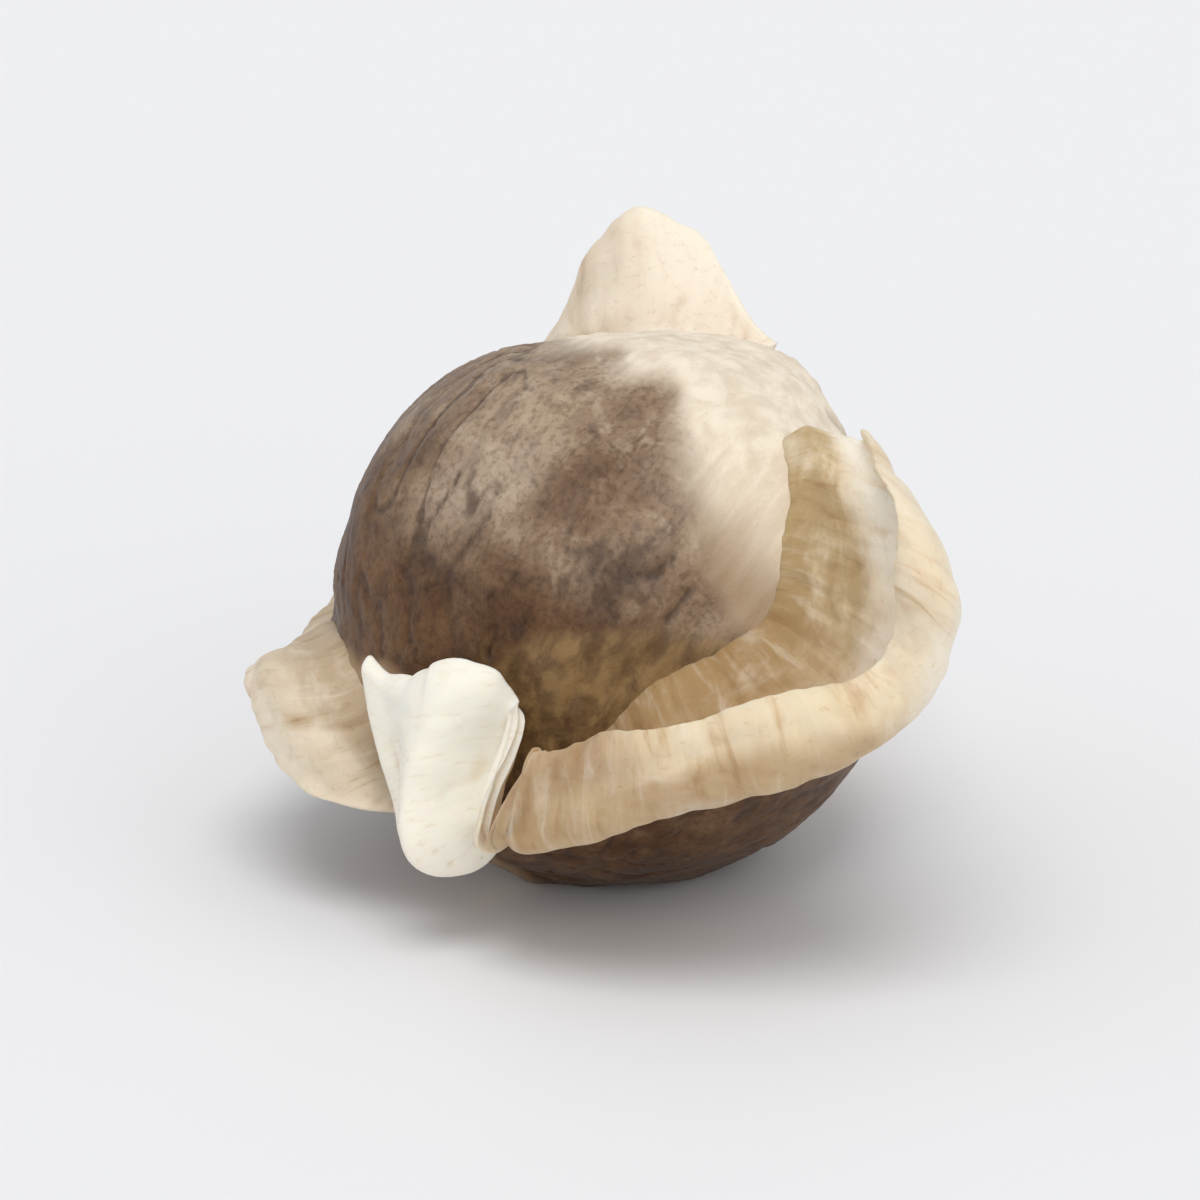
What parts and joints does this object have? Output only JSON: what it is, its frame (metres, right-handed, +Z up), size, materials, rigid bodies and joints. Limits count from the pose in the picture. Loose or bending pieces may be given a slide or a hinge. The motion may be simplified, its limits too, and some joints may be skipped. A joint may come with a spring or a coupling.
{
  "type": "moringa seed",
  "caption": "Winged seed: a rounded, faintly angled brown hull with cream papery wings that curl round it, their rims rolled, waved and torn.",
  "frame": {"origin": "bottom centre of the box round the seed, on the surface it lies on", "axes": "+Z up; -Y towards the side that the picture shows, with the cupped wing and the folded flap; +X to the right in the picture"},
  "size_m": [0.014, 0.0172, 0.0114],
  "materials": {
    "hull": "dull satin seed coat, grey-brown, mottled",
    "wing_front": "matt papery membrane, cream to tan",
    "wing_left": "matt papery membrane, cream to tan",
    "wing_back": "matt papery membrane, cream to tan"
  },
  "bodies": {
    "root": {"hull": "hull", "wing_front": "wing_front", "wing_left": "wing_left", "wing_back": "wing_back"}
  },
  "joints": []
}
